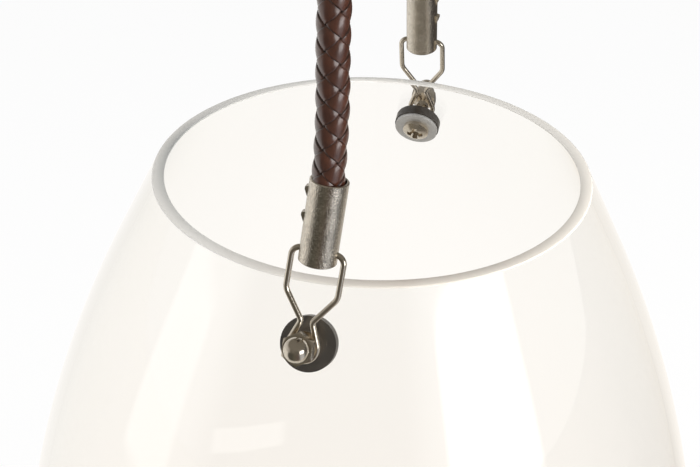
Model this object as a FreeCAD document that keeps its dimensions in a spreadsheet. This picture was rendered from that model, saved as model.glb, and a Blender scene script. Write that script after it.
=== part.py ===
"""Large clear glass candle vessel with a braided rope handle, held by two wire clips on studs.

Millimetres, +Z up. The origin is under the middle of the base, and the two studs stand over the
Y axis: the front one at -Y, the back one at +Y. The vessel is blown glass with a ground rim. A
stud goes through each drilled hole: a screw from inside, a spacer sleeve round it, a cap nut
outside. Each wire clip turns on a sleeve and hooks into the ferrule on its end of the rope.
"""

import FreeCAD, Part
import math
import os
import Sketcher

Vector = FreeCAD.Vector
Rotation = FreeCAD.Rotation
Placement = FreeCAD.Placement

SIZES = {
    # vessel, outside
    "vessel_height": 335,
    "rim_radius": 81,
    "flare_angle": 26.5,
    "cone_drop": 30,
    "belly_height": 95.3,
    "lower_radius": 200,
    "heel_radius": 45,
    # vessel, inside
    "wall": 4,
    "base_thickness": 7,
    "inner_heel_radius": 34,
    "rim_ease": 0.5,
    # stud through the glass
    "stud_drop": 18.8,
    "stud_hole_radius": 3.9,
    "seat_gap": 0.1,
    "rubber_thickness": 4,
    "rubber_radius": 9.4,
    "flat_washer_thickness": 1.4,
    "flat_washer_radius": 9,
    "outer_washer_thickness": 1,
    "outer_washer_radius": 4.7,
    "sleeve_radius": 2.8,
    "sleeve_play": 0.15,
    "shank_radius": 2.3,
    "shank_play": 0.1,
    "nut_standoff": 8,
    "nut_across_flats": 10,
    "nut_thickness": 3.6,
    "nut_dome_radius": 4.3,
    "nut_dome_rise": 0.6,
    "nut_chamfer": 0.45,
    "nut_depth": 5.6,
    "tip_room": 0.5,
    "head_radius": 5.4,
    "head_edge": 1.3,
    "head_rise": 2,
    "recess_length": 6.6,
    "recess_width": 2,
    "recess_middle": 2.5,
    "recess_depth": 2.6,
    # wire clip
    "wire_radius": 1,
    "loop_radius": 4.9,
    "loop_standoff": 4.5,
    "clip_lean": 13.5,
    "clip_length": 33.4,
    "neck_height": 9,
    "neck_half_width": 1.85,
    "hip_height": 18.8,
    "clip_half_width": 8.65,
    "pin_bend": 3,
    "hip_bend": 5,
    "neck_bend": 2,
    "pin_reach": 4.7,
    # ferrule
    "ferrule_radius": 6.3,
    "ferrule_wall": 0.8,
    "ferrule_above_pin": 24.7,
    "ferrule_below_pin": 3.6,
    "ferrule_lean": 8,
    "ferrule_ease": 0.3,
    "pin_play": 0.15,
    "tab_width": 2.6,
    "tab_stand": 0.9,
    "tab_length": 4.2,
    "upper_tab_height": 17.4,
    "lower_tab_height": 8.6,
    # handle
    "front_swing": 5.5,
    "back_swing": -0.5,
    "rope_radius": 5.25,
    "rope_end_rise": 2.6,
    "front_knee_rise": 31,
    "back_knee_rise": 38,
    "front_settle": 1.2,
    "arch_rise": 148.1,
}

DERIVED = {
    "flare_sine": "=sin(flare_angle * 1 deg)",
    "flare_cosine": "=cos(flare_angle * 1 deg)",
    "flare_slope": "=flare_sine / flare_cosine",
    "ease_radius": "=rim_radius + rim_ease * flare_slope",
    "ease_height": "=vessel_height - rim_ease",
    "cone_foot_radius": "=rim_radius + cone_drop * flare_slope",
    "cone_foot_height": "=vessel_height - cone_drop",
    "shoulder_radius": "=(cone_foot_height - belly_height) / flare_sine",
    "belly_outer_radius": "=cone_foot_radius + shoulder_radius * (1 - flare_cosine)",
    "inner_rim_radius": "=rim_radius - wall / flare_cosine",
    "inner_ease_radius": "=inner_rim_radius + rim_ease * flare_slope",
    "inner_cone_foot_radius": "=cone_foot_radius - wall * flare_cosine",
    "inner_cone_foot_height": "=cone_foot_height - wall * flare_sine",
    "inner_shoulder_radius": "=shoulder_radius - wall",
    "lower_centre_radius": "=belly_outer_radius - lower_radius",
    "heel_reach": "=lower_radius - heel_radius",
    "heel_fall": "=belly_height - heel_radius",
    "foot_radius": "=lower_centre_radius + sqrt(heel_reach ^ 2 - heel_fall ^ 2)",
    "heel_top": "=belly_height - lower_radius * heel_fall / heel_reach",
    "inner_lower_radius": "=lower_radius - wall",
    "inner_heel_reach": "=inner_lower_radius - inner_heel_radius",
    "inner_heel_fall": "=belly_height - base_thickness - inner_heel_radius",
    "floor_radius": "=lower_centre_radius + sqrt(inner_heel_reach ^ 2 - inner_heel_fall ^ 2)",
    "inner_heel_top": "=belly_height - inner_lower_radius * inner_heel_fall / inner_heel_reach",
    "stud_radius": "=rim_radius + stud_drop * flare_slope",
    "stud_height": "=vessel_height - stud_drop",
    "rubber_front": "=wall + seat_gap",
    "rubber_back": "=rubber_front + rubber_thickness",
    "washer_back": "=rubber_back + flat_washer_thickness",
    "head_back": "=washer_back + head_edge",
    "head_crown": "=head_back + head_rise",
    "head_crown_radius": "=(head_radius ^ 2 + head_rise ^ 2) / (2 * head_rise)",
    "shank_end": "=nut_standoff + nut_depth - tip_room",
    "sleeve_bore_radius": "=shank_radius + shank_play",
    "washer_bore_radius": "=sleeve_radius + sleeve_play",
    "nut_front": "=nut_standoff + nut_thickness",
    "nut_corner_radius": "=nut_across_flats / sqrt(3)",
    "nut_face_radius": "=nut_corner_radius - nut_chamfer * sqrt(3)",
    "ferrule_bore_radius": "=ferrule_radius - ferrule_wall",
    "tab_root": "=ferrule_radius - ferrule_wall / 2",
    "seat_rim_radius": "=inner_rim_radius - seat_gap / flare_cosine",
}

# The arch of the rope above its straight ends, as shares of the way out from the middle of the
# vessel to the rope's knee, and of the arch's rise above the ferrule's pins.
ROPE_ARCH = [(0.973, 0.537), (0.862, 0.751), (0.59, 0.916), (0.217, 1)]
BEND_SHARE = 0.45

SIDES = {"front": 0, "back": 180}

doc = FreeCAD.newDocument("glass_lantern")
sheet = doc.addObject("Spreadsheet::Sheet", "sizes")
for row, (alias, content) in enumerate({**SIZES, **DERIVED}.items(), start=1):
    sheet.set(f"A{row}", alias)
    sheet.set(f"B{row}", str(content))
    sheet.setAlias(f"B{row}", alias)
doc.recompute()
size = {alias: float(sheet.get(alias)) for alias in [*SIZES, *DERIVED]}


def named(rule):
    """Put the sheet's name before each of its aliases in a rule."""
    words = rule.split(" ")
    return " ".join(f"sizes.{word}" if word in size else word for word in words)


def value(rule):
    return float(sheet.evalExpression(named(rule)))


def bind(obj, **rules):
    """Bind properties to the sheet; two underscores in a keyword stand for a dot."""
    for name, rule in rules.items():
        obj.setExpression(name.replace("__", "."), named(rule))


# Where the studs, clips and ferrules stand


def facing(side, lean):
    """The turn of a piece whose plane leans inwards by this angle and faces outwards."""
    return Rotation(Vector(0, 0, 1), SIDES[side]) * Rotation(Vector(1, 0, 0), 90 - lean)


def stud_place(side, outward=0):
    """On the stud's axis, this far outside the glass, with Z along the axis."""
    turn = facing(side, size["flare_angle"])
    seat = Rotation(Vector(0, 0, 1), SIDES[side]).multVec(
        Vector(0, -size["stud_radius"], size["stud_height"])
    )
    return Placement(seat + turn.multVec(Vector(0, 0, outward)), turn)


def swing(side):
    return Rotation(Vector(0, 1, 0), size[side + "_swing"])


def clip_place(side):
    """At the middle of the loop, with X across the clip and Y up along it."""
    loop = stud_place(side, size["loop_standoff"]).Base
    return Placement(loop, swing(side) * facing(side, size["clip_lean"]))


def ferrule_place(side):
    """At the middle of the ferrule's pins, with X along them and Z up the ferrule."""
    pins = clip_place(side).multVec(Vector(0, size["clip_length"], 0))
    return Placement(pins, swing(side) * facing(side, size["ferrule_lean"] + 90))


# Part primitives and booleans


def cylinder(name, radius, height, base):
    obj = doc.addObject("Part::Cylinder", name)
    bind(obj, Radius=radius, Height=height, Placement__Base__z=base)
    return obj


def box(name, length, width, height, middle="0"):
    """A box centred on the Z axis, with its middle at this height."""
    obj = doc.addObject("Part::Box", name)
    bind(obj, Length=length, Width=width, Height=height)
    for axis, extent, centre in zip("xyz", (length, width, height), ("0", "0", middle)):
        obj.setExpression(f"Placement.Base.{axis}", named(f"{centre} - ( {extent} ) / 2"))
    return obj


def boolean(kind, name, base, tool):
    obj = doc.addObject("Part::" + kind, name)
    obj.Base, obj.Tool = base, tool
    return obj


def fuse(name, shapes):
    obj = doc.addObject("Part::MultiFuse", name)
    obj.Shapes = shapes
    return obj


def ring(name, outer, inner, thickness, base):
    disc = cylinder(name + "_disc", outer, thickness, base)
    bore = cylinder(name + "_bore", inner, thickness, base)
    return boolean("Cut", name, disc, bore)


# Sketch outlines


def origin_plane(body, role):
    return next(f for f in body.Origin.OriginFeatures if f.Role == role)


class Outline:
    """A closed outline in a body's sketch, with its corners and arcs bound to the sheet."""

    def __init__(self, body, name, plane, across, up):
        self.sketch = body.newObject("Sketcher::SketchObject", name)
        self.sketch.AttachmentSupport = [(origin_plane(body, plane), "")]
        self.sketch.MapMode = "FlatFace"
        self.corner = (across, up)
        self.here = self.point(self.corner)
        self.first = None
        self.last = None

    def point(self, corner):
        return Vector(value(corner[0]), value(corner[1]), 0)

    def rule(self, constraint, rule):
        index = self.sketch.addConstraint(constraint)
        self.sketch.setExpression(f"Constraints[{index}]", named(rule))

    def hold(self, end, axis, rule):
        """Hold one coordinate of a point of the outline, measured from the origin."""
        self.rule(Sketcher.Constraint("Distance" + axis, -1, 1, *end, value(rule)), rule)

    def meet(self, start, end):
        if self.last is None:
            self.first = start
            self.hold(start, "X", self.corner[0])
            self.hold(start, "Y", self.corner[1])
        else:
            self.sketch.addConstraint(Sketcher.Constraint("Coincident", *self.last, *start))
        self.last = end

    def line(self, across, up):
        corner = self.point((across, up))
        index = self.sketch.addGeometry(Part.LineSegment(self.here, corner), False)
        self.meet((index, 1), (index, 2))
        self.hold(self.last, "X", across)
        self.hold(self.last, "Y", up)
        self.here = corner

    def arc(self, kept, rule, radius, centre, held, anticlockwise):
        """An arc that bulges outwards, or down where it ends at a kept X.

        kept is the coordinate that the rule gives its end, and held the one its centre keeps.
        """
        middle, reach = self.point(centre), value(radius)
        if kept == "Y":
            rise = value(rule) - middle.y
            end = middle + Vector(math.sqrt(reach**2 - rise**2), rise, 0)
        else:
            across = value(rule) - middle.x
            end = middle + Vector(across, -math.sqrt(reach**2 - across**2), 0)
        angles = [math.atan2(p.y - middle.y, p.x - middle.x) for p in (self.here, end)]
        circle = Part.Circle(middle, Vector(0, 0, 1), reach)
        curve = Part.ArcOfCircle(circle, *(angles if anticlockwise else angles[::-1]))
        index = self.sketch.addGeometry(curve, False)
        self.meet((index, 1 if anticlockwise else 2), (index, 2 if anticlockwise else 1))
        self.rule(Sketcher.Constraint("Radius", index, reach), radius)
        self.hold((index, 3), held, centre["XY".index(held)])
        self.hold(self.last, kept, rule)
        self.here = end

    def close(self):
        segment = Part.LineSegment(self.here, self.point(self.corner))
        index = self.sketch.addGeometry(segment, False)
        self.meet((index, 1), (index, 2))
        self.sketch.addConstraint(Sketcher.Constraint("Coincident", index, 2, *self.first))
        return self.sketch


def revolve(body, name, sketch):
    feature = body.newObject("PartDesign::Revolution", name)
    feature.Profile = sketch
    feature.ReferenceAxis = (sketch, ["V_Axis"])
    feature.Angle = 360
    return feature


# The glass


def glass_vessel():
    body = doc.addObject("PartDesign::Body", "glass_blank")
    wall = Outline(body, "glass_section", "XZ_Plane", "0", "0")
    heel = ("foot_radius", "heel_radius")
    lower = ("lower_centre_radius", "belly_height")
    shoulder = ("belly_outer_radius - shoulder_radius", "belly_height")
    inner_heel = ("floor_radius", "base_thickness + inner_heel_radius")
    wall.line("foot_radius", "0")
    wall.arc("Y", "heel_top", "heel_radius", heel, "X", True)
    wall.arc("Y", "belly_height", "lower_radius", lower, "Y", True)
    wall.arc("Y", "cone_foot_height", "shoulder_radius", shoulder, "Y", True)
    wall.line("ease_radius", "ease_height")
    wall.line("rim_radius - rim_ease", "vessel_height")
    wall.line("inner_rim_radius + rim_ease", "vessel_height")
    wall.line("inner_ease_radius", "ease_height")
    wall.line("inner_cone_foot_radius", "inner_cone_foot_height")
    wall.arc("Y", "belly_height", "inner_shoulder_radius", shoulder, "Y", False)
    wall.arc("Y", "inner_heel_top", "inner_lower_radius", lower, "Y", False)
    wall.arc("X", "floor_radius", "inner_heel_radius", inner_heel, "Y", False)
    wall.line("0", "base_thickness")
    revolve(body, "glass_turned", wall.close())
    drills = []
    for side in SIDES:
        drill = cylinder(side + "_drill", "stud_hole_radius", "4 * wall", "0")
        drill.setExpression("Placement.Base.z", None)
        drill.Placement = stud_place(side, -2 * size["wall"])
        drills.append(drill)
    return boolean("Cut", "glass_vessel", body, fuse("stud_holes", drills))


# The stud's pieces, with Z along its axis and zero at the outer face of the glass


def screw(name):
    """Pan head inside the vessel, with a cross recess, and a shank that ends in the nut."""
    body = doc.addObject("PartDesign::Body", name + "_blank")
    section = Outline(body, name + "_section", "XZ_Plane", "0", "0 - head_crown")
    crown = ("0", "head_crown_radius - head_crown")
    section.arc("X", "head_radius", "head_crown_radius", crown, "X", True)
    section.line("head_radius", "0 - washer_back")
    section.line("shank_radius", "0 - washer_back")
    section.line("shank_radius", "shank_end")
    section.line("0", "shank_end")
    revolve(body, name + "_turned", section.close())
    depth = "2 * recess_depth"
    middle = doc.addObject("Part::Cone", name + "_recess_middle")
    bind(
        middle,
        Radius1="recess_middle",
        Radius2="recess_width / 2",
        Height="recess_depth",
        Placement__Base__z="0 - head_crown",
    )
    recess = [
        box(name + "_slot_a", "recess_length", "recess_width", depth, "0 - head_crown"),
        box(name + "_slot_b", "recess_width", "recess_length", depth, "0 - head_crown"),
        middle,
    ]
    return boolean("Cut", name, body, fuse(name + "_recess", recess))


def flat_washer(name):
    back = "0 - washer_back"
    return ring(name, "flat_washer_radius", "washer_bore_radius", "flat_washer_thickness", back)


def outer_washer(name):
    return ring(
        name, "outer_washer_radius", "washer_bore_radius", "outer_washer_thickness", "seat_gap"
    )


def spacer_sleeve(name):
    length = "washer_back + nut_standoff"
    return ring(name, "sleeve_radius", "sleeve_bore_radius", length, "0 - washer_back")


def rubber_washer(name, side):
    """A thick washer whose outer face is pressed to the inside of the cone."""
    back = "0 - rubber_back"
    blank = ring(name + "_blank", "rubber_radius", "washer_bore_radius", "rubber_back", back)
    blank.Placement = stud_place(side)
    cone = doc.addObject("Part::Cone", name + "_seat")
    bind(
        cone,
        Radius1="seat_rim_radius + 2 * cone_drop * flare_slope",
        Radius2="seat_rim_radius",
        Height="2 * cone_drop",
        Placement__Base__z="vessel_height - 2 * cone_drop",
    )
    return boolean("Common", name, blank, cone)


def cap_nut(name):
    """A hexagon with its corners chamfered, under a round dome, bored from the back."""
    hexagon = doc.addObject("Part::Prism", name + "_hexagon")
    hexagon.Polygon = 6
    hexagon.Placement.Rotation = Rotation(Vector(0, 0, 1), 30)
    bind(
        hexagon,
        Circumradius="nut_corner_radius",
        Height="nut_thickness",
        Placement__Base__z="nut_standoff",
    )
    cone = doc.addObject("Part::Cone", name + "_chamfer")
    bind(
        cone,
        Radius1="nut_face_radius + nut_thickness * sqrt(3)",
        Radius2="nut_face_radius",
        Height="nut_thickness",
        Placement__Base__z="nut_standoff",
    )
    dome = doc.addObject("Part::Sphere", name + "_dome")
    dome.Angle1 = 0
    bind(dome, Radius="nut_dome_radius", Placement__Base__z="nut_front + nut_dome_rise")
    outside = fuse(
        name + "_outside",
        [
            boolean("Common", name + "_body", hexagon, cone),
            cylinder(name + "_collar", "nut_dome_radius", "nut_dome_rise", "nut_front"),
            dome,
        ],
    )
    bore = cylinder(name + "_bore", "sleeve_bore_radius", "nut_depth", "nut_standoff")
    return boolean("Cut", name, outside, bore)


# The ferrule, with X along its pins and Z up


def ferrule_tab(body, name, height):
    """The section of a tongue of the wall, pressed outwards at its upper end."""
    tab = Outline(body, name, "XZ_Plane", "tab_root", height)
    tab.line("ferrule_radius + tab_stand", height + " + tab_length * 2 / 3")
    tab.line("ferrule_radius + tab_stand", height + " + tab_length - tab_stand / 2")
    tab.line("tab_root", height + " + tab_length")
    pad = body.newObject("PartDesign::Pad", name + "_pad")
    pad.Profile = tab.close()
    pad.Midplane = True
    bind(pad, Length="tab_width")


def ferrule(name):
    """A tube with two tongues that grip the rope and two holes for the clip's pins."""
    body = doc.addObject("PartDesign::Body", name + "_tube")
    foot, head = "0 - ferrule_below_pin", "ferrule_above_pin"
    section = Outline(body, name + "_section", "XZ_Plane", "ferrule_bore_radius", foot)
    section.line("ferrule_radius - ferrule_ease", foot)
    section.line("ferrule_radius", foot + " + ferrule_ease")
    section.line("ferrule_radius", head + " - ferrule_ease")
    section.line("ferrule_radius - ferrule_ease", head)
    section.line("ferrule_bore_radius", head)
    revolve(body, name + "_turned", section.close())
    ferrule_tab(body, name + "_upper_tab", "upper_tab_height")
    ferrule_tab(body, name + "_lower_tab", "lower_tab_height")
    holes = cylinder(name + "_holes", "wire_radius + pin_play", "4 * ferrule_radius", "0")
    holes.Placement.Rotation = Rotation(Vector(0, 1, 0), 90)
    holes.setExpression("Placement.Base.z", None)
    bind(holes, Placement__Base__x="0 - 2 * ferrule_radius")
    return boolean("Cut", name, body, holes)


# Swept pieces


def rounded_path(points, bends):
    """Straight edges between the points, with a tangent arc of each bend's radius."""
    edges, start = [], points[0]
    for before, corner, after, bend in zip(points, points[1:], points[2:], bends):
        back, ahead = (before - corner).normalize(), (after - corner).normalize()
        half_turn = (math.pi - back.getAngle(ahead)) / 2
        trim = bend * math.tan(half_turn)
        middle = corner + (back + ahead).normalize() * bend * (1 / math.cos(half_turn) - 1)
        edges.append(Part.LineSegment(start, corner + back * trim).toShape())
        edges.append(Part.Arc(corner + back * trim, middle, corner + ahead * trim).toShape())
        start = corner + ahead * trim
    edges.append(Part.LineSegment(start, points[-1]).toShape())
    return edges


def swept(name, edges, radius):
    """A round rod along the edges, compared with its section times its length."""
    path = Part.Wire(edges)
    ahead = edges[0].tangentAt(edges[0].FirstParameter)
    circle = Part.Circle(edges[0].firstVertex().Point, ahead, radius)
    rod = path.makePipeShell([Part.Wire(circle.toShape())], True, False)
    share = rod.Volume / (math.pi * radius**2 * path.Length)
    print(f"{name}: length {path.Length:.1f}, volume {share:.4f} of section times length")
    obj = doc.addObject("Part::Feature", name)
    obj.Shape = rod
    return obj


def wire_clip(name):
    """One wire: a pin, a leg, a neck, round the loop and back up to the other pin."""
    loop = size["loop_radius"]
    neck = Vector(size["neck_half_width"], size["neck_height"], 0)
    touch = math.atan2(neck.y, neck.x) - math.acos(loop / neck.Length)
    right = [
        Vector(loop * math.cos(touch), loop * math.sin(touch), 0),
        neck,
        Vector(size["clip_half_width"], size["hip_height"], 0),
        Vector(size["clip_half_width"], size["clip_length"], 0),
        Vector(size["pin_reach"], size["clip_length"], 0),
    ]
    left = [Vector(-p.x, p.y, 0) for p in reversed(right)]
    bends = [size["neck_bend"], size["hip_bend"], size["pin_bend"]]
    bottom = Part.Arc(left[-1], Vector(0, -loop, 0), right[0]).toShape()
    edges = [*rounded_path(left, bends[::-1]), bottom, *rounded_path(right, bends)]
    return swept(name, edges, size["wire_radius"])


def rope_half(side):
    """The middle line's points from the end in this side's ferrule to the top of the arch."""
    place = ferrule_place(side)
    end = place.multVec(Vector(0, 0, size["rope_end_rise"]))
    knee = place.multVec(Vector(0, 0, size[side + "_knee_rise"]))
    base = place.Base.z
    arch = [Vector(0, out * knee.y, base + up * size["arch_rise"]) for out, up in ROPE_ARCH]
    return [end, knee, *arch]


def handle_rope(name):
    """The rope's round outline along its route, with the largest arcs its runs allow.

    Above its front knee the rope leans back by the settle, and from there its arch runs straight
    across to the back knee.
    """
    points = rope_half("front") + rope_half("back")[::-1]
    first, last = points[1], points[-2]
    start = first.x - size["front_settle"]
    for point in points[2:-2]:
        share = (point.y - first.y) / (last.y - first.y)
        point.x = start + share * (last.x - start)
    bends = []
    for before, corner, after in zip(points, points[1:], points[2:]):
        half_turn = (math.pi - (before - corner).getAngle(after - corner)) / 2
        shorter = min((before - corner).Length, (after - corner).Length)
        bends.append(BEND_SHARE * shorter / math.tan(half_turn))
    print("rope route:", [[round(c, 2) for c in point] for point in points])
    print("rope bend radii:", [round(bend) for bend in bends])
    return swept(name, rounded_path(points, bends), size["rope_radius"])


# Every piece, in its place


def stud_pieces(side):
    pieces = {
        "screw": screw,
        "flat_washer": flat_washer,
        "spacer_sleeve": spacer_sleeve,
        "outer_washer": outer_washer,
        "cap_nut": cap_nut,
    }
    made = []
    for word, build in pieces.items():
        piece = build(f"{side}_{word}")
        piece.Placement = stud_place(side)
        made.append(piece)
    return [*made, rubber_washer(f"{side}_rubber_washer", side)]


def handle_end(side):
    clip = wire_clip(f"{side}_wire_clip")
    clip.Placement = clip_place(side)
    tube = ferrule(f"{side}_ferrule")
    half_turn = Placement(Vector(), Rotation(Vector(0, 0, 1), 180))
    tube.Placement = ferrule_place(side) * half_turn
    return [clip, tube]


def all_pieces():
    pieces = [glass_vessel(), handle_rope("handle_rope")]
    for side in SIDES:
        pieces += stud_pieces(side) + handle_end(side)
    for piece in pieces:
        piece.Label = piece.Name
    return pieces


def export(pieces):
    doc.recompute()
    failed = [o.Name for o in doc.Objects if {"Invalid", "Error"} & set(o.State)]
    for piece in pieces:
        shape = piece.Shape
        if shape.isNull() or not shape.isValid() or len(shape.Solids) != 1:
            failed.append(piece.Label)
    if failed:
        raise RuntimeError(f"failed: {failed}")
    os.makedirs("parts", exist_ok=True)
    for piece in pieces:
        piece.Shape.exportStep(f"parts/{piece.Label}.step")
        print(f"{piece.Label}: {piece.Shape.Volume:.1f} mm3")


export(all_pieces())
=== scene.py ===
"""Looks for the glass candle lantern: glass, nickel, rubber and a braided leather rope handle.

Lengths are in metres, and angles round the vessel run from the x axis.
"""

import math
from collections import namedtuple

import bmesh
import bpy
import numpy as np
from mathutils import Matrix, Quaternion, Vector


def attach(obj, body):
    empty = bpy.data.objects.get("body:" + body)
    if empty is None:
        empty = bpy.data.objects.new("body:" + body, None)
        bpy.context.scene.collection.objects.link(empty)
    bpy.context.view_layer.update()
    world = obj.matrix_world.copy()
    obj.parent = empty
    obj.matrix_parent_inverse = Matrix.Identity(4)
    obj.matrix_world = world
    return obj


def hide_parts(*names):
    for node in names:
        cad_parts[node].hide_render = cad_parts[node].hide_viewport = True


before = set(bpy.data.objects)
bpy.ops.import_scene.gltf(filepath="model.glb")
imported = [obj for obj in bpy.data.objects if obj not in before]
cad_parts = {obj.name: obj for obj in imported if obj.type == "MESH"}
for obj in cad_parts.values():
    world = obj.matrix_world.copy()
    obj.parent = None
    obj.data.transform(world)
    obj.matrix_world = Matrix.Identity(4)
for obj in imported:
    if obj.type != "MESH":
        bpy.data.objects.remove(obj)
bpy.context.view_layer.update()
scene = bpy.context.scene


# Camera

IMAGE_WIDTH, SENSOR_WIDTH = 700, 36
AZIMUTH, ELEVATION, ROLL = (math.radians(a) for a in (13.634, 30.683, 1.342))
CAMERA_PLACE = Vector((0.1078, -0.4770, 0.5970))
FOCAL_PIXELS = 1494.9


def make_camera():
    """The photograph's view, as fitted to the rim's ellipse."""
    back = Vector(
        (
            math.cos(ELEVATION) * math.sin(AZIMUTH),
            -math.cos(ELEVATION) * math.cos(AZIMUTH),
            math.sin(ELEVATION),
        )
    )
    level_right = Vector((0, 0, 1)).cross(back).normalized()
    level_up = back.cross(level_right)
    right = math.cos(ROLL) * level_right + math.sin(ROLL) * level_up
    up = math.cos(ROLL) * level_up - math.sin(ROLL) * level_right
    data = bpy.data.cameras.new("camera")
    data.sensor_width = SENSOR_WIDTH
    data.lens = FOCAL_PIXELS * SENSOR_WIDTH / IMAGE_WIDTH
    data.clip_start = 0.01
    camera = bpy.data.objects.new("camera", data)
    turn = Matrix((right, up, back)).transposed()
    camera.matrix_world = Matrix.Translation(CAMERA_PLACE) @ turn.to_4x4()
    scene.collection.objects.link(camera)
    scene.camera = camera


make_camera()
scene.view_settings.view_transform = "Standard"


# Node trees


class Nodes:
    """A small helper that builds a node tree."""

    def __init__(self, tree):
        self.tree = tree

    def add(self, kind, inputs=None, **settings):
        node = self.tree.nodes.new("ShaderNode" + kind)
        for key, value in settings.items():
            setattr(node, key, value)
        for key, value in (inputs or {}).items():
            self.put(node.inputs[key], value)
        return node

    def put(self, socket, value):
        if isinstance(value, bpy.types.NodeSocket):
            self.tree.links.new(value, socket)
        else:
            socket.default_value = value

    def noise(self, coordinates, scale, detail=2.0, roughness=0.5, distortion=0.0):
        node = self.add(
            "TexNoise",
            {
                "Vector": coordinates,
                "Scale": scale,
                "Detail": detail,
                "Roughness": roughness,
                "Distortion": distortion,
            },
        )
        return node.outputs["Fac"]

    def stretched_noise(self, coordinates, stretch, scale, detail, roughness=0.5):
        """Noise drawn out along one way of its coordinates."""
        mapping = self.add("Mapping", {"Vector": coordinates, "Scale": stretch})
        return self.noise(mapping.outputs["Vector"], scale, detail, roughness)

    def ramp(self, factor, *stops):
        node = self.add("ValToRGB", {"Fac": factor})
        elements = node.color_ramp.elements
        while len(elements) < len(stops):
            elements.new(0.5)
        for element, (place, colour) in zip(elements, stops):
            element.position = place
            element.color = (*colour, 1) if isinstance(colour, tuple) else (colour,) * 3 + (1,)
        return node.outputs["Color"]

    def ramp_by_angle(self, place, stops):
        """A colour that changes with the angle in degrees round the upright axis."""
        along = self.axes(place)
        angle = self.math("ARCTAN2", along["Y"], along["X"])
        share = self.math("MULTIPLY_ADD", angle, 0.5 / math.pi, 0.5)
        return self.ramp(share, *[((degrees + 180) / 360, tone) for degrees, tone in stops])

    def math(self, operation, *values):
        node = self.add("Math", dict(enumerate(values)), operation=operation)
        return node.outputs["Value"]

    def without(self, value, *others):
        """A yes or no value that is no wherever one of the others is yes."""
        for other in others:
            value = self.math("SUBTRACT", value, other)
        return self.math("MAXIMUM", value, 0.0)

    def weighted(self, first, second, share):
        """A sum of two values in which the first counts for this share."""
        rest = self.math("MULTIPLY", second, 1 - share)
        return self.math("MULTIPLY_ADD", first, share, rest)

    def mix(self, factor, first, second, **settings):
        """The first colour where the factor is 0 and the second where it is 1."""
        node = self.add("Mix", {0: factor, 6: first, 7: second}, data_type="RGBA", **settings)
        return node.outputs[2]

    def mix_shaders(self, factor, first, second):
        return self.add("MixShader", {0: factor, 1: first, 2: second}).outputs[0]

    def glow(self, **inputs):
        return self.add("Emission", inputs).outputs[0]

    def bump(self, height, strength, distance):
        inputs = {"Height": height, "Strength": strength, "Distance": distance}
        return self.add("Bump", inputs).outputs["Normal"]

    def object_place(self):
        return self.add("TexCoord").outputs["Object"]

    def axes(self, place):
        return self.add("SeparateXYZ", {"Vector": place}).outputs

    def from_axis(self, place):
        """How far a place is from the upright axis."""
        along = self.axes(place)
        flat = self.add("CombineXYZ", {"X": along["X"], "Y": along["Y"]}).outputs[0]
        return self.add("VectorMath", {0: flat}, operation="LENGTH").outputs["Value"]


class MaterialNodes(Nodes):
    """The same for a new material with a Principled shader."""

    def __init__(self, name):
        self.material = bpy.data.materials.new(name)
        self.material.use_nodes = True
        super().__init__(self.material.node_tree)
        self.shader = self.tree.nodes["Principled BSDF"]

    def set(self, **values):
        for key, value in values.items():
            self.put(self.shader.inputs[key.replace("_", " ")], value)

    def show(self, surface):
        """Put another shader on the surface in place of the Principled one."""
        self.put(self.tree.nodes["Material Output"].inputs["Surface"], surface)


RayKinds = namedtuple("RayKinds", "camera through mirrored metal leaving")


def ray_kinds(nodes):
    """Which rays are the camera's, came straight through glass, off glass, off rough metal, or
    were reflected and then left through glass.

    Light that passes through smooth glass is also marked as glossy and singular.
    """
    path = nodes.add("LightPath").outputs
    passing, sharp = path["Is Transmission Ray"], path["Is Singular Ray"]
    reflected = nodes.math("GREATER_THAN", path["Glossy Depth"], 0.5)
    leaving = nodes.math("MULTIPLY", passing, reflected)
    return RayKinds(
        camera=path["Is Camera Ray"],
        through=nodes.math("SUBTRACT", passing, leaving),
        mirrored=nodes.without(sharp, passing),
        metal=nodes.without(path["Is Glossy Ray"], sharp, passing),
        leaving=leaving,
    )


# Materials


def linear(hex_colour):
    channels = [int(hex_colour[i : i + 2], 16) / 255 for i in (0, 2, 4)]
    return tuple(c / 12.92 if c <= 0.04045 else ((c + 0.055) / 1.055) ** 2.4 for c in channels)


def tones(stops):
    return [(degrees, linear(tone)) for degrees, tone in stops]


# Tones by the angle round the vessel in degrees: a painted glow for light caught in the wall,
# and painted light and reflections on the cut rim's outer and inner edge
WALL_GLOW_TONES = [(-180, "f0eeea"), (-90, "f3ebe0"), (0, "f1e4d1"), (90, "f1ece3"), (179, "f0eeea")]
RIM_OUTER_PAINTED_LIGHT = [
    (-180, "cccac6"),
    (-120, "e6e4e0"),
    (-70, "dcd5cb"),
    (0, "f6f1e9"),
    (110, "bfbfbc"),
    (179, "cccac6"),
]
RIM_INNER_PAINTED_LIGHT = [
    (-180, "9a9c9b"),
    (-120, "cdccc8"),
    (-70, "c0b7ae"),
    (0, "cbc8c2"),
    (60, "e2e0dc"),
    (110, "f4f2ee"),
    (179, "9a9c9b"),
]

GLASS_TINT = (0.992, 0.985, 0.972, 1)
GLASS_SHADOW_TINT = (0.95, 0.945, 0.93, 1)
GLASS_IOR = 1.5
WAVE_SCALE, WAVE_STRENGTH, WAVE_HEIGHT = 9.0, 0.12, 0.004
# Light with more bounces, or more reflections, than these counts as caught in the wall
MOST_BOUNCES, MOST_REFLECTIONS = 6.5, 1.5
RIM_INNER, RIM_WIDTH = 0.0765, 0.0045
# The cut rim's glass is mostly opaque and a little rough, so its painted light and reflections
# show
RIM_PAINT_ROUGHNESS, RIM_PAINT_CLEARNESS = 0.08, 0.12


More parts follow.
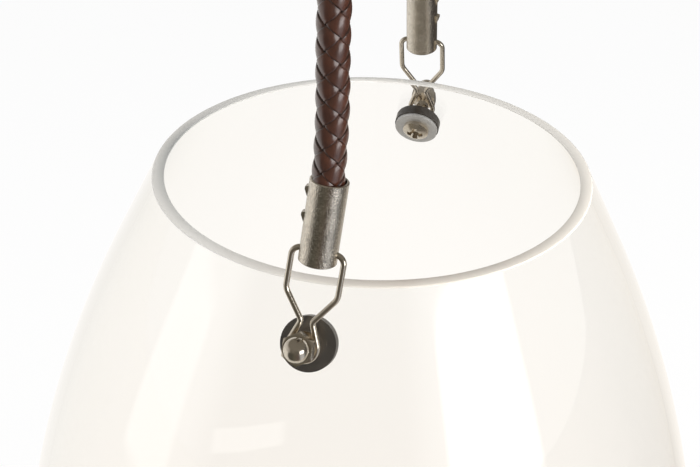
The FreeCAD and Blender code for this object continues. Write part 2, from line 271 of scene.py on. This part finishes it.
def paint_rim_light(nodes, place):
    """Give the rim painted light and reflections: a little rough, mostly opaque glass in tones
    that change with the angle round the vessel and from the rim's inner edge outwards.
    """
    from_inner = nodes.math("SUBTRACT", nodes.from_axis(place), RIM_INNER)
    share = nodes.math("DIVIDE", from_inner, RIM_WIDTH)
    outward = nodes.ramp(share, (0.12, 0.0), (0.9, 1.0))
    inner = nodes.ramp_by_angle(place, tones(RIM_INNER_PAINTED_LIGHT))
    outer = nodes.ramp_by_angle(place, tones(RIM_OUTER_PAINTED_LIGHT))
    nodes.set(
        Base_Color=nodes.mix(outward, inner, outer),
        Roughness=RIM_PAINT_ROUGHNESS,
        Transmission_Weight=RIM_PAINT_CLEARNESS,
    )


def glass_material(name, cut=False):
    """Clear glass with slow waves. Light that stays caught in the wall is replaced by a painted
    glow, in tones by the angle round the vessel.
    """
    nodes = MaterialNodes(name)
    place = nodes.object_place()
    waves = nodes.noise(place, scale=WAVE_SCALE, detail=1.0)
    nodes.set(
        Base_Color=GLASS_TINT,
        Roughness=0.0,
        IOR=GLASS_IOR,
        Transmission_Weight=1.0,
        Normal=nodes.bump(waves, WAVE_STRENGTH, WAVE_HEIGHT),
    )
    if cut:
        paint_rim_light(nodes, place)
    path = nodes.add("LightPath").outputs
    long = nodes.math("GREATER_THAN", path["Ray Depth"], MOST_BOUNCES)
    bounced = nodes.math("GREATER_THAN", path["Glossy Depth"], MOST_REFLECTIONS)
    # A painted glow stands in for the light caught in the wall, in tones by the angle round the
    # vessel
    caught = nodes.glow(Color=nodes.ramp_by_angle(place, tones(WALL_GLOW_TONES)))
    glass = nodes.mix_shaders(
        nodes.math("MAXIMUM", long, bounced), nodes.shader.outputs[0], caught
    )
    shadow = nodes.add("BsdfTransparent", {"Color": GLASS_SHADOW_TINT}).outputs[0]
    nodes.show(nodes.mix_shaders(path["Is Shadow Ray"], glass, shadow))
    return nodes.material


def nickel_material(name, colour, rough_low, rough_high, speckle, patch_scale):
    """Nickel plate with fine speckled wear and a faint streaked finish."""
    nodes = MaterialNodes(name)
    place = nodes.object_place()
    fine = nodes.noise(place, scale=1700, detail=3.0, roughness=0.65)
    specks = nodes.noise(place, scale=2300, detail=1.0, roughness=0.6)
    patches = nodes.noise(place, patch_scale, detail=3.0, roughness=0.55, distortion=0.4)
    streaks = nodes.stretched_noise(place, stretch=(1, 1, 0.06), scale=1800, detail=2.0)
    worn = tuple(0.82 * c for c in colour)
    darkest_speck = 1 - 0.26 * speckle
    tint = nodes.ramp(patches, (0.3, worn), (0.7, colour))
    grain = nodes.ramp(specks, (0.43, darkest_speck), (0.57, 1.0))
    wear = nodes.weighted(patches, fine, 0.6)
    height = nodes.weighted(fine, streaks, 0.7)
    nodes.set(
        Base_Color=nodes.mix(1.0, tint, grain, blend_type="MULTIPLY"),
        Metallic=1.0,
        Roughness=nodes.ramp(wear, (0.3, rough_low), (0.72, rough_high)),
        Normal=nodes.bump(height, strength=speckle, distance=0.00022),
    )
    return nodes.material


def rubber_material():
    """Dark rubber with faint clouds and a fine matt grain."""
    nodes = MaterialNodes("dark_rubber")
    place = nodes.object_place()
    fine = nodes.noise(place, scale=1400, detail=3.0)
    cloudy = nodes.noise(place, scale=160, detail=2.0)
    nodes.set(
        Base_Color=nodes.ramp(cloudy, (0.3, (0.020, 0.016, 0.012)), (0.7, (0.032, 0.026, 0.02))),
        Roughness=nodes.ramp(fine, (0.3, 0.28), (0.7, 0.42)),
        Normal=nodes.bump(fine, strength=0.25, distance=0.00008),
    )
    return nodes.material


def washer_material():
    """Pale, dull plated steel."""
    nodes = MaterialNodes("washer_steel")
    fine = nodes.noise(nodes.object_place(), scale=1500, detail=4.0, roughness=0.65)
    nodes.set(
        Base_Color=nodes.ramp(fine, (0.3, linear("b9b9b9")), (0.75, linear("d6d5d3"))),
        Metallic=0.85,
        Roughness=nodes.ramp(fine, (0.3, 0.42), (0.7, 0.58)),
        Normal=nodes.bump(fine, strength=0.3, distance=0.00005),
    )
    return nodes.material


def leather_material():
    """Waxed brown leather: painted shade in the grooves, a soft sheen and fine grain along each
    strap.
    """
    nodes = MaterialNodes("brown_leather")
    strap = nodes.add("UVMap", uv_map=STRAP_MAP).outputs["UV"]
    from_middle = nodes.math("ABSOLUTE", nodes.math("SUBTRACT", nodes.axes(strap)["Y"], 0.5))
    place = nodes.object_place()
    cloudy = nodes.noise(place, scale=240, detail=3.0, roughness=0.6)
    pores = nodes.noise(place, scale=2400, detail=4.0, roughness=0.6)
    creases = nodes.stretched_noise(
        strap, stretch=(420, 26, 1), scale=1.0, detail=3.0, roughness=0.6
    )
    body = nodes.ramp(cloudy, (0.25, linear("341b12")), (0.75, linear("482617")))
    # Painted shade: each strap darkens towards its edges, where the grooves between straps lie
    painted_groove_shade = nodes.ramp(from_middle, (0.40, 0.0), (0.5, 1.0))
    height = nodes.weighted(pores, creases, 0.5)
    nodes.set(
        Base_Color=nodes.mix(painted_groove_shade, body, (*linear("150a07"), 1)),
        Roughness=nodes.ramp(creases, (0.3, 0.30), (0.7, 0.44)),
        Normal=nodes.bump(height, strength=0.22, distance=0.00012),
        Coat_Weight=0.9,
        Coat_Roughness=0.2,
    )
    return nodes.material


STRAP_MAP = "strap"
GLASS = glass_material("clear_glass")
# The cut rim's glass carries painted light and reflections
CUT_GLASS = glass_material("cut_glass", cut=True)
POLISHED = nickel_material(
    "polished_nickel",
    colour=(0.66, 0.60, 0.51),
    rough_low=0.11,
    rough_high=0.2,
    speckle=0.1,
    patch_scale=140,
)
SATIN = nickel_material(
    "satin_nickel",
    colour=(0.72, 0.66, 0.565),
    rough_low=0.14,
    rough_high=0.26,
    speckle=0.9,
    patch_scale=260,
)
WASHER = washer_material()
RUBBER = rubber_material()
LEATHER = leather_material()


def dress(node, material):
    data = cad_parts[node].data
    data.materials.clear()
    data.materials.append(material)


for side in ("front", "back"):
    for word in ("screw", "spacer_sleeve", "outer_washer", "cap_nut", "wire_clip"):
        dress(f"{side}_{word}", POLISHED)
    dress(f"{side}_ferrule", SATIN)
    dress(f"{side}_flat_washer", WASHER)
    dress(f"{side}_rubber_washer", RUBBER)


# Meshes and objects


def new_object(name, data, material):
    data.materials.append(material)
    obj = bpy.data.objects.new(name, data)
    scene.collection.objects.link(obj)
    return obj


def new_mesh(name, bm):
    mesh = bpy.data.meshes.new(name)
    bm.to_mesh(mesh)
    bm.free()
    return mesh


def rectangle(name, width, depth):
    """A flat face round its own origin."""
    x, y = width / 2, depth / 2
    mesh = bpy.data.meshes.new(name)
    mesh.from_pydata([(-x, -y, 0), (x, -y, 0), (x, y, 0), (-x, y, 0)], [], [(0, 1, 2, 3)])
    return mesh


# The vessel, as one smooth lathe-turned skin with the two drilled holes. Its sizes are part.py's

RIM_RADIUS, TOP, FLARE = 0.081, 0.335, math.radians(26.5)
CONE_DROP, BELLY_HEIGHT = 0.030, 0.0953
LOWER, HEEL, INNER_HEEL, WALL, BASE = 0.200, 0.045, 0.034, 0.004, 0.007
STUD_DROP, STUD_HOLE = 0.0188, 0.0039
SHOULDER = (TOP - CONE_DROP - BELLY_HEIGHT) / math.sin(FLARE)
BELLY_RADIUS = RIM_RADIUS + CONE_DROP * math.tan(FLARE) + SHOULDER * (1 - math.cos(FLARE))

# The rim's two edges are eased, and faces above the cut's depth are the cut rim
RIM_EASE, CUT_DEPTH = 0.0005, 0.00045
SHARP_ANGLE = math.radians(40)

# How many points each stretch of the profile, each ring and each drill has
FLOOR_POINTS, HEEL_POINTS, LOWER_POINTS, SHOULDER_POINTS, CONE_POINTS = 14, 18, 18, 44, 12
EASE_POINTS, RING_POINTS, DRILL_POINTS = 5, 256, 48
# A radius below this is a single point on the axis
LEAST_RADIUS = 1e-6


def arc(centre, radius, start, end, count):
    angles = np.linspace(start, end, count)
    return [(centre[0] + radius * math.cos(a), centre[1] + radius * math.sin(a)) for a in angles]


def between(start, end, share):
    return tuple(a + (b - a) * share for a, b in zip(start, end))


def vessel_skin(inset, floor, heel):
    """Points of one face of the wall, from the middle of the floor up to under the rim."""
    lower = LOWER - inset
    shoulder = SHOULDER - inset
    lower_centre = BELLY_RADIUS - LOWER
    reach, fall = lower - heel, BELLY_HEIGHT - floor - heel
    heel_centre = (lower_centre + math.sqrt(reach**2 - fall**2), floor + heel)
    turn = math.atan2(-fall, heel_centre[0] - lower_centre)
    foot = (
        RIM_RADIUS + CONE_DROP * math.tan(FLARE) - inset * math.cos(FLARE),
        TOP - CONE_DROP - inset * math.sin(FLARE),
    )
    top_radius = RIM_RADIUS - inset / math.cos(FLARE)
    last = (top_radius + RIM_EASE * math.tan(FLARE), TOP - RIM_EASE)
    points = [(r, floor) for r in np.linspace(0, heel_centre[0], FLOOR_POINTS)[:-1]]
    points += arc(heel_centre, heel, -math.pi / 2, turn, HEEL_POINTS)[:-1]
    points += arc((lower_centre, BELLY_HEIGHT), lower, turn, 0, LOWER_POINTS)[:-1]
    shoulder_centre = (BELLY_RADIUS - SHOULDER, BELLY_HEIGHT)
    points += arc(shoulder_centre, shoulder, 0, FLARE, SHOULDER_POINTS)[:-1]
    points += [between(foot, last, share) for share in np.linspace(0, 1, CONE_POINTS)]
    return points


def eased(corner, before, after):
    """A small arc-like turn from one straight to another, through a quadratic curve."""
    corner, before, after = (Vector(p) for p in (corner, before, after))
    start = corner + (before - corner).normalized() * RIM_EASE
    end = corner + (after - corner).normalized() * RIM_EASE
    return [
        tuple((1 - t) ** 2 * start + 2 * t * (1 - t) * corner + t**2 * end)
        for t in np.linspace(0, 1, EASE_POINTS)
    ]


def vessel_profile():
    """The wall's outline, from the middle of the foot up outside, over the rim and down inside."""
    outside = vessel_skin(0, 0, HEEL)
    inside = vessel_skin(WALL, BASE, INNER_HEEL)
    outer_rim = (RIM_RADIUS, TOP)
    inner_rim = (RIM_RADIUS - WALL / math.cos(FLARE), TOP)
    outer_edge = eased(outer_rim, outside[-1], inner_rim)
    inner_edge = eased(inner_rim, outer_rim, inside[-1])
    return [*outside, *outer_edge, *inner_edge, *inside[::-1]]


def ring(bm, radius, height):
    """A ring of points round the axis, or the one point that lies on it."""
    if radius < LEAST_RADIUS:
        return [bm.verts.new((0, 0, height))]
    angles = [2 * math.pi * k / RING_POINTS for k in range(RING_POINTS)]
    return [bm.verts.new((radius * math.cos(a), radius * math.sin(a), height)) for a in angles]


def make_vessel():
    bm = bmesh.new()
    rings = [ring(bm, radius, height) for radius, height in vessel_profile()]
    for low, high in zip(rings, rings[1:]):
        for k in range(RING_POINTS):
            n = (k + 1) % RING_POINTS
            corners = (
                low[k % len(low)],
                low[n % len(low)],
                high[n % len(high)],
                high[k % len(high)],
            )
            unique = list(dict.fromkeys(corners))
            if len(unique) > 2:
                bm.faces.new(unique)
    bmesh.ops.recalc_face_normals(bm, faces=bm.faces)
    return new_object("vessel_glass", new_mesh("vessel", bm), GLASS)


def stud_drill(turn):
    """A cylinder along a stud's own axis, on the side at this turn from the front."""
    radius, height = RIM_RADIUS + STUD_DROP * math.tan(FLARE), TOP - STUD_DROP
    bm = bmesh.new()
    bmesh.ops.create_cone(
        bm,
        cap_ends=True,
        segments=DRILL_POINTS,
        radius1=STUD_HOLE,
        radius2=STUD_HOLE,
        depth=4 * WALL,
    )
    place = (
        Matrix.Rotation(turn, 4, "Z")
        @ Matrix.Translation((0, -radius, height))
        @ Matrix.Rotation(math.pi / 2 - FLARE, 4, "X")
    )
    bmesh.ops.transform(bm, matrix=place, verts=bm.verts)
    drill = bpy.data.objects.new("drill", new_mesh("drill", bm))
    scene.collection.objects.link(drill)
    return drill


def cut_away(target, tool):
    """Take the tool's shape out of the target's mesh, and the tool out of the scene."""
    cut = target.modifiers.new("drill", "BOOLEAN")
    cut.operation, cut.solver, cut.object = "DIFFERENCE", "EXACT", tool
    depsgraph = bpy.context.evaluated_depsgraph_get()
    cut_mesh = bpy.data.meshes.new_from_object(target.evaluated_get(depsgraph))
    target.modifiers.remove(cut)
    target.data = cut_mesh
    bpy.data.objects.remove(tool)


def finish_vessel(vessel):
    """Smooth the skin and give the cut rim its own glass, with painted light and reflections."""
    vessel.data.shade_smooth()
    vessel.data.set_sharp_from_angle(angle=SHARP_ANGLE)
    vessel.data.materials.append(CUT_GLASS)
    for polygon in vessel.data.polygons:
        polygon.material_index = int(polygon.center.z > TOP - CUT_DEPTH)


vessel = make_vessel()
for turn in (0, math.pi):
    cut_away(vessel, stud_drill(turn))
finish_vessel(vessel)
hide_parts("glass_vessel")
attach(vessel, "vessel")


# The rope's middle line. The route's points are those that part.py prints

ROPE_ROUTE = [
    (0.00336, -0.08624, 0.3531),
    (0.00606, -0.08229, 0.38109),
    (0.00478, -0.08007, 0.43007),
    (0.00448, -0.07093, 0.46176),
    (0.00373, -0.04855, 0.4862),
    (0.0027, -0.01786, 0.49864),
    (0.00152, 0.01765, 0.49878),
    (0.0005, 0.04798, 0.48634),
    (-0.00024, 0.07009, 0.46191),
    (-0.00054, 0.07912, 0.43021),
    (-0.00061, 0.08131, 0.38831),
    (-0.00031, 0.08624, 0.35326),
]


def spline_points(route):
    """Points along the smooth curve that has the route as its control points."""
    data = bpy.data.curves.new("route", "CURVE")
    data.dimensions = "3D"
    data.resolution_u = 64
    spline = data.splines.new("NURBS")
    spline.points.add(len(route) - 1)
    for point, place in zip(spline.points, route):
        point.co = (*place, 1)
    spline.order_u = 3
    spline.use_endpoint_u = True
    obj = bpy.data.objects.new("route", data)
    mesh = bpy.data.meshes.new_from_object(obj)
    points = np.array([v.co for v in mesh.vertices])
    bpy.data.objects.remove(obj)
    bpy.data.meshes.remove(mesh)
    bpy.data.curves.remove(data)
    return points


class Path:
    """A curve by its length, with a frame that follows it without twisting."""

    SAMPLES = 800
    LEAST_RUN = 1e-9

    def __init__(self, points):
        runs = np.linalg.norm(np.diff(points, axis=0), axis=1)
        points = points[np.concatenate([[True], runs > self.LEAST_RUN])]
        along = np.concatenate([[0], np.cumsum(np.linalg.norm(np.diff(points, axis=0), axis=1))])
        self.length = float(along[-1])
        self.along = np.linspace(0, self.length, self.SAMPLES)
        self.points = np.stack([np.interp(self.along, along, points[:, k]) for k in range(3)], 1)
        tangents = np.gradient(self.points, self.along, axis=0)
        tangents /= np.linalg.norm(tangents, axis=1)[:, None]
        first = np.array([1.0, 0, 0]) - tangents[0] * tangents[0][0]
        sides = [first / np.linalg.norm(first)]
        for tangent in tangents[1:]:
            side = sides[-1] - tangent * np.dot(sides[-1], tangent)
            sides.append(side / np.linalg.norm(side))
        self.side = np.array(sides)
        self.other = np.cross(tangents, self.side)

    def pick(self, table, along):
        """A table's rows at these lengths along the path."""
        return np.stack([np.interp(along, self.along, table[:, k]) for k in range(3)], -1)

    def place(self, along, angle, radius):
        """Places on the rope's surface, for arrays of length along, angle and radius."""
        centre, side, other = (
            self.pick(table, along) for table in (self.points, self.side, self.other)
        )
        out = np.cos(angle)[..., None] * side + np.sin(angle)[..., None] * other
        return centre + radius[..., None] * out


# The braid: three straps wind one way and three the other, each over one and under one.
# FAMILY is the number of straps that wind the same way, and a phase step of 1 is one strap of
# the other family

FAMILY = 3
LEAD = 0.0238
FIRST_CROSSING = 0.0057
COLUMN_ANGLE = math.radians(-106.5)
PHASE_STEP, PHASE_MARGIN = 0.1, 1.5
# Roughly how far a strap runs in one phase, for its UV map
PHASE_RUN = 0.0069

# Distances from the rope's middle line. A strap that is under another lies twice the wave lower
TOP_RADIUS = 0.00535
INNER_RADIUS = 0.00385
LEAST_THICKNESS = 0.0001
WAVE, WAVE_POWER = 0.00052, 0.75
PILLOW = 0.00016
EDGE_DROP, EDGE_START, EDGE_RUN = 0.00055, 0.40, 0.10

# The ends swell a little inside the ferrules, where the braid is glued
END_SWELL, SWELL_END, SWELL_RUN = 0.00011, 0.026, 0.006

# Where a strap's points lie across its width of 1, closer at the edges, and which of them its
# underside keeps, in the order that goes back across
ACROSS = np.concatenate(
    [np.linspace(-0.5, -0.38, 5), np.linspace(-0.25, 0.25, 5), np.linspace(0.38, 0.5, 5)]
)
UNDERSIDE = [14, 10, 7, 4, 0]
LEAST_EDGE = 1e-7


def strap_radius(lift, along, length):
    """How far a strap's top stands from the middle line, where lift is 1 over and -1 under."""
    shaped = np.sign(lift) * np.abs(lift) ** WAVE_POWER
    edge = np.clip((np.abs(ACROSS) - EDGE_START) / EDGE_RUN, 0, 1)[None, :]
    drop = EDGE_DROP * (1 - np.sqrt(np.clip(1 - edge**2, 0, 1)))
    pillow = PILLOW * (2 * ACROSS[None, :]) ** 2
    radius = TOP_RADIUS - WAVE * (1 - shaped) - drop - pillow
    radius = np.maximum(radius, INNER_RADIUS + LEAST_THICKNESS)
    from_end = np.minimum(along, length - along)
    return radius + END_SWELL * np.clip((SWELL_END - from_end) / SWELL_RUN, 0, 1)


def strap_rows(path, family, index):
    """One strap's phases, the rows of its top and underside, and which points are on the rope."""
    turns = path.length / LEAD
    phase_end = 2 * FAMILY * turns
    phases = np.arange(-PHASE_MARGIN, phase_end + PHASE_MARGIN, PHASE_STEP)
    own = index + ACROSS[None, :]
    other = phases[:, None] * np.ones_like(own)
    # first counts the straps of the rising family at each point, and second the falling ones
    if family == "rising":
        first, second = own, own + other
        lift = np.cos(math.pi * (second + index))
    else:
        second, first = own, own - other
        lift = -np.cos(math.pi * (first + index))
    angle = (first + second) * math.pi / FAMILY + COLUMN_ANGLE
    along = (second - first) * LEAD / (2 * FAMILY) + FIRST_CROSSING
    inside = (along >= 0) & (along <= path.length)
    radius = strap_radius(lift, along, path.length)
    along = np.clip(along, 0, path.length)
    top = path.place(along, angle, radius)
    low = path.place(along, angle, np.full_like(radius, INNER_RADIUS))
    return phases, top, low[:, UNDERSIDE], inside


def strap_mesh(bm, uv_layer, path, family, index):
    """Skin one flat strap of the braid, with its length and width in the UV layer."""
    phases, top, low, inside = strap_rows(path, family, index)
    rows = [[bm.verts.new(p) for p in (*tops, *lows)] for tops, lows in zip(top, low)]
    count = len(rows[0])
    for r in range(len(rows) - 1):
        if not inside[r : r + 2].any():
            continue
        for k in range(count):
            n = (k + 1) % count
            corners = ((r, k), (r, n), (r + 1, n), (r + 1, k))
            face = bm.faces.new([rows[row][column] for row, column in corners])
            face.smooth = True
            for loop, (row, column) in zip(face.loops, corners):
                v = ACROSS[column] + 0.5 if column < len(ACROSS) else 0.0
                loop[uv_layer].uv = (phases[row] * PHASE_RUN, v)


def make_rope(path):
    bm = bmesh.new()
    uv_layer = bm.loops.layers.uv.new(STRAP_MAP)
    for family in ("rising", "falling"):
        for index in range(FAMILY):
            strap_mesh(bm, uv_layer, path, family, index)
    bmesh.ops.delete(bm, geom=[v for v in bm.verts if not v.link_faces], context="VERTS")
    bmesh.ops.dissolve_degenerate(bm, dist=LEAST_EDGE, edges=bm.edges)
    bmesh.ops.recalc_face_normals(bm, faces=bm.faces)
    return new_object("braided_rope", new_mesh("rope", bm), LEATHER)


path = Path(spline_points(ROPE_ROUTE))
rope = make_rope(path)
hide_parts("handle_rope")
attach(rope, "handle")


# Floor, light and world

# The floor as rough metal reflects it, by the angle round the vessel in degrees
FLOOR_OFF_METAL = [
    (-180, (1.05, 1.03, 1.0)),
    (-148, (1.0, 0.98, 0.95)),
    (-138, (0.12, 0.115, 0.10)),
    (-108, (0.10, 0.095, 0.08)),
    (-92, (0.15, 0.14, 0.11)),
    (-76, (0.17, 0.14, 0.12)),
    (-58, (0.16, 0.13, 0.12)),
    (-44, (0.66, 0.68, 0.72)),
    (-22, (0.70, 0.72, 0.76)),
    (-4, (0.16, 0.16, 0.16)),
    (20, (0.09, 0.08, 0.075)),
    (98, (0.10, 0.09, 0.08)),
    (122, (0.95, 0.93, 0.9)),
    (179, (1.05, 1.03, 1.0)),
]

# The room as rough metal reflects it, and the part of it overhead
ROOM_OFF_METAL = [
    (-180, (0.85, 0.83, 0.8)),
    (-150, (0.6, 0.58, 0.55)),
    (-125, (0.17, 0.155, 0.13)),
    (-55, (0.17, 0.155, 0.13)),
    (-30, (0.26, 0.26, 0.26)),
    (0, (0.14, 0.13, 0.12)),
    (80, (0.2, 0.19, 0.18)),
    (120, (0.8, 0.79, 0.77)),
    (179, (0.85, 0.83, 0.8)),
]
OVERHEAD_OFF_METAL = (0.24, 0.22, 0.19, 1)

# The floor in reflections that then leave through glass, round the vessel and under it
FLOOR_THROUGH_GLASS = [
    (-180, (0.85, 0.83, 0.78)),
    (-150, (0.8, 0.77, 0.72)),
    (-136, (0.2, 0.18, 0.14)),
    (-60, (0.12, 0.11, 0.10)),
    (30, (0.13, 0.12, 0.11)),
    (60, (0.8, 0.78, 0.74)),
    (179, (0.85, 0.83, 0.78)),
]
UNDER_VESSEL = (0.66, 0.64, 0.6, 1)

# The room as glass mirrors it, darker in front, and in reflections that then leave through glass
ROOM_OFF_GLASS = [
    (-180, (0.95, 0.95, 0.95)),
    (-145, (0.95, 0.95, 0.95)),
    (-130, (0.22, 0.21, 0.2)),
    (-62, (0.22, 0.21, 0.2)),
    (-48, (0.95, 0.95, 0.95)),
    (179, (0.95, 0.95, 0.95)),
]

# The floor's warm tint in and through glass, by its distance from the vessel's axis: darker and
# warmer near the vessel, a painted shadow
FLOOR_TINTS_AND_SHADOW = [(0.18, (1.04, 1.0, 0.955)), (0.45, (1.06, 1.04, 1.01)), (0.9, (1.05, 1.035, 1.01))]

WHITE = (1, 1, 1, 1)
FLOOR_COLOUR = (0.93, 0.93, 0.93, 1)
FLOOR_WIDTH, FLOOR_DROP = 12.0, 0.0002
# How much of the floor is its own glow, and not lit, to the camera and in or through glass
CAMERA_GLOW, GLASS_GLOW = 0.92, 0.94


def make_floor():
    """A pale floor that keeps the object's faint shadow.

    To the camera it is near white, and in or through glass a little warm, with a painted shadow
    that darkens it near the vessel. Rough metal sees it bright on the left and in a band at the
    front right, and dim elsewhere.
    """
    nodes = MaterialNodes("floor")
    nodes.set(Base_Color=FLOOR_COLOUR, Roughness=0.9, Specular_IOR_Level=0.0)
    place = nodes.object_place()
    reach = nodes.from_axis(place)
    rays = ray_kinds(nodes)
    in_glass = nodes.math("ADD", rays.through, rays.mirrored)
    direct = nodes.math("MULTIPLY", rays.camera, CAMERA_GLOW)
    glowing = nodes.math("ADD", direct, nodes.math("MULTIPLY", in_glass, GLASS_GLOW))
    # In and through glass the floor takes the warm tint, with a painted shadow near the vessel
    tone = nodes.mix(in_glass, WHITE, nodes.ramp(reach, *FLOOR_TINTS_AND_SHADOW))
    pale = nodes.mix_shaders(glowing, nodes.shader.outputs[0], nodes.glow(Color=tone))

    off_metal = nodes.ramp_by_angle(place, FLOOR_OFF_METAL)
    outside = nodes.ramp(reach, (0.12, 0.0), (0.3, 1.0))
    around = nodes.ramp_by_angle(place, FLOOR_THROUGH_GLASS)
    behind_glass = nodes.mix(outside, UNDER_VESSEL, around)
    mirror = nodes.glow(Color=nodes.mix(rays.leaving, off_metal, behind_glass))
    reflected = nodes.math("ADD", rays.metal, rays.leaving)
    nodes.show(nodes.mix_shaders(reflected, pale, mirror))

    floor = new_object("floor", rectangle("floor", FLOOR_WIDTH, FLOOR_WIDTH), nodes.material)
    floor.location = (0, 0, -FLOOR_DROP)


def make_world():
    """White to the camera and straight through glass, and a plain fading grey as a light.

    Rough metal and glass each reflect a room that changes with the angle round the vessel.
    """
    world = bpy.data.worlds.new("world")
    scene.world = world
    world.use_nodes = True
    nodes = Nodes(world.node_tree)
    rays = ray_kinds(nodes)
    place = nodes.add("TexCoord").outputs["Generated"]
    height = nodes.axes(place)["Z"]

    plain = nodes.ramp(height, (0.0, 0.55), (0.6, 0.25))
    overhead = nodes.ramp(height, (0.25, 0.0), (0.5, 1.0))
    off_metal = nodes.mix(
        overhead, nodes.ramp_by_angle(place, ROOM_OFF_METAL), OVERHEAD_OFF_METAL
    )
    above = nodes.ramp(height, (0.7, 0.0), (0.9, 1.0))
    off_glass = nodes.mix(above, nodes.ramp_by_angle(place, ROOM_OFF_GLASS), WHITE)

    tone = nodes.mix(rays.metal, plain, off_metal)
    tone = nodes.mix(nodes.math("ADD", rays.mirrored, rays.leaving), tone, off_glass)
    tone = nodes.mix(nodes.math("ADD", rays.camera, rays.through), tone, WHITE)
    background = nodes.tree.nodes["Background"]
    nodes.put(background.inputs["Color"], tone)
    nodes.put(background.inputs["Strength"], 1.0)


# Where the lamps and panels face, and how far from there the panels stand
CENTRE = Vector((0, 0, 0.3))
PANEL_DISTANCE = 1.3


def area_light(name, place, size, power, colour=(1, 1, 1)):
    """A lamp that lights the surfaces. No reflection shows it, and no view through glass."""
    data = bpy.data.lights.new(name, "AREA")
    data.shape = "RECTANGLE"
    data.size, data.size_y = size
    data.energy = power
    data.color = colour
    light = bpy.data.objects.new(name, data)
    light.location = place
    light.visible_glossy = False
    light.visible_transmission = False
    light.rotation_euler = (CENTRE - Vector(place)).to_track_quat("-Z", "Y").to_euler()
    scene.collection.objects.link(light)


def soft_panel(name, azimuth, elevation, size, strength, roll=0.0, rough_share=0.0):
    """A glowing panel with soft edges that faces the vessel, with its angles in degrees.

    The camera doesn't see it, also not through glass. Glass mirrors it in full, and rough metal
    and plain surfaces get only the rough share of its strength.
    """
    nodes = MaterialNodes(name)
    along = nodes.axes(nodes.object_place())
    shares = []
    for axis, width in zip("XY", size):
        from_middle = nodes.math("ABSOLUTE", nodes.math("DIVIDE", along[axis], width / 2))
        shares.append(nodes.ramp(from_middle, (0.80, 1.0), (1.0, 0.0)))
    level = nodes.math("MULTIPLY", nodes.math("MULTIPLY", *shares), strength)
    sharp = nodes.add("LightPath").outputs["Is Singular Ray"]
    level = nodes.math("MULTIPLY", level, nodes.math("MAXIMUM", sharp, rough_share))
    clear = nodes.add("BsdfTransparent").outputs[0]
    both = nodes.add("AddShader", {0: nodes.glow(Strength=level), 1: clear})
    nodes.show(both.outputs[0])

    panel = new_object(name, rectangle(name, *size), nodes.material)
    azimuth, elevation = math.radians(azimuth), math.radians(elevation)
    out = Vector(
        (
            math.cos(elevation) * math.cos(azimuth),
            math.cos(elevation) * math.sin(azimuth),
            math.sin(elevation),
        )
    )
    panel.location = CENTRE + PANEL_DISTANCE * out
    facing = (-out).to_track_quat("Z", "Y")
    panel.rotation_euler = (facing @ Quaternion((0, 0, 1), math.radians(roll))).to_euler()
    panel.visible_camera = False
    panel.visible_transmission = False


make_floor()
make_world()
area_light("window_right", (1.25, -0.30, 0.62), size=(0.34, 1.0), power=18, colour=(1, 0.98, 0.95))
area_light("window_left", (-1.2, -0.75, 0.9), size=(0.3, 1.2), power=9, colour=(1, 0.99, 0.97))
area_light("overhead", (0.1, 0.1, 1.9), size=(1.2, 1.2), power=12)
soft_panel("panel_right", -31, 7, size=(0.86, 0.56), strength=6.0, rough_share=0.7)
soft_panel("panel_left", -155, -1, size=(0.52, 0.54), strength=1.1)
soft_panel("panel_low", -118, 4.4, size=(0.66, 0.075), strength=1.3, roll=-15)
